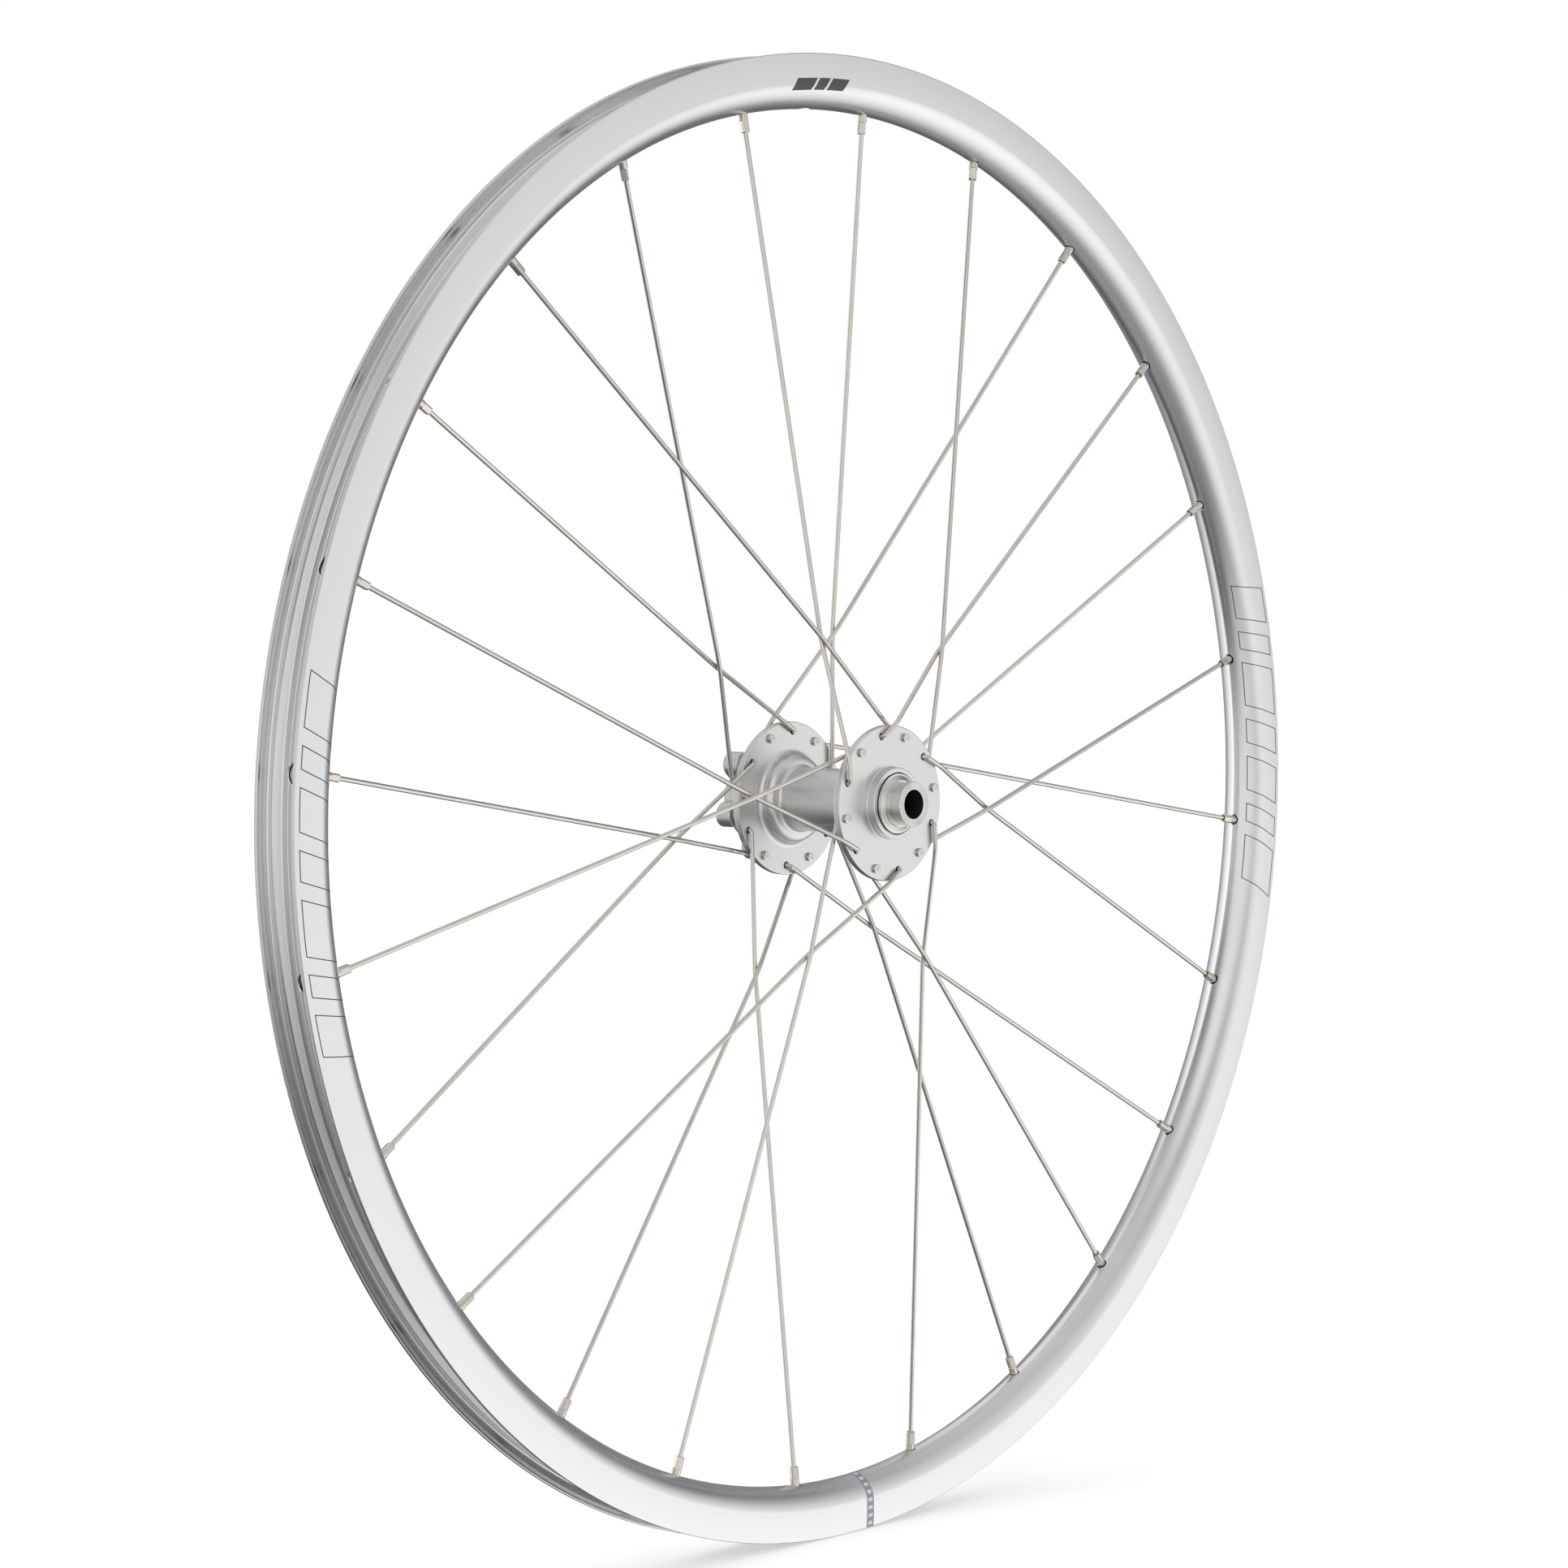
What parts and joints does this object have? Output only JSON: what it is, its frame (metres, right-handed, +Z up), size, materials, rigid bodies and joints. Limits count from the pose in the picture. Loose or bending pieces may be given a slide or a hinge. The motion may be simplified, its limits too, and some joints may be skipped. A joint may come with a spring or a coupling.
{
  "type": "bicycle front wheel",
  "caption": "Road bicycle front wheel for disc brakes: hollow off-centre rim, J-bend spokes laced two-cross with brass nipples, flanged thru-axle hub on cartridge bearings.",
  "frame": {"origin": "centre of the wheel: on the axle line, midway between the two end-cap faces", "axes": "+Y runs along the axle towards the brake-rotor (left) side, +Z is up, and +X completes the right-handed frame"},
  "size_m": [0.6334, 0.1, 0.6334],
  "materials": {
    "rim": "polished and clear-anodised silver aluminium",
    "hub": "satin silver anodised aluminium",
    "end_cap": "machined aluminium, clear anodised",
    "spoke": "drawn stainless steel wire",
    "nipple": "nickel-plated brass",
    "bearing": "ground bearing steel"
  },
  "bodies": {
    "axle_assembly": {"axle": "end_cap", "right_end_cap": "end_cap", "left_end_cap": "end_cap", "right_bearing_inner_race": "bearing", "left_bearing_inner_race": "bearing"},
    "wheel": {"rim": "rim", "rim_joint_sleeve": "rim", "hub_shell": "hub", "right_bearing_outer_race": "bearing", "left_bearing_outer_race": "bearing", "spoke_01": "spoke", "spoke_02": "spoke", "spoke_03": "spoke", "spoke_04": "spoke", "spoke_05": "spoke", "spoke_06": "spoke", "spoke_07": "spoke", "spoke_08": "spoke", "spoke_09": "spoke", "spoke_10": "spoke", "spoke_11": "spoke", "spoke_12": "spoke", "spoke_13": "spoke", "spoke_14": "spoke", "spoke_15": "spoke", "spoke_16": "spoke", "spoke_17": "spoke", "spoke_18": "spoke", "spoke_19": "spoke", "spoke_20": "spoke", "spoke_21": "spoke", "spoke_22": "spoke", "spoke_23": "spoke", "spoke_24": "spoke", "nipple_01": "nipple", "nipple_02": "nipple", "nipple_03": "nipple", "nipple_04": "nipple", "nipple_05": "nipple", "nipple_06": "nipple", "nipple_07": "nipple", "nipple_08": "nipple", "nipple_09": "nipple", "nipple_10": "nipple", "nipple_11": "nipple", "nipple_12": "nipple", "nipple_13": "nipple", "nipple_14": "nipple", "nipple_15": "nipple", "nipple_16": "nipple", "nipple_17": "nipple", "nipple_18": "nipple", "nipple_19": "nipple", "nipple_20": "nipple", "nipple_21": "nipple", "nipple_22": "nipple", "nipple_23": "nipple", "nipple_24": "nipple"},
    "right_ball_cage": {"right_bearing_ball_cage": "bearing"},
    "left_ball_cage": {"left_bearing_ball_cage": "bearing"}
  },
  "joints": [
    {"name": "wheel_spin", "type": "hinge", "parent": "axle_assembly", "child": "wheel", "pos_m": [0, 0, 0], "axis": [0, 1, 0], "continuous": true},
    {"name": "right_cage_spin", "type": "hinge", "parent": "axle_assembly", "child": "right_ball_cage", "pos_m": [0, -0.0375, 0], "axis": [0, 1, 0], "continuous": true},
    {"name": "left_cage_spin", "type": "hinge", "parent": "axle_assembly", "child": "left_ball_cage", "pos_m": [0, 0.0375, 0], "axis": [0, 1, 0], "continuous": true}
  ],
  "couplings": [
    {"joint": "right_cage_spin", "follows": "wheel_spin", "ratio": 0.5698},
    {"joint": "left_cage_spin", "follows": "wheel_spin", "ratio": 0.5698}
  ]
}
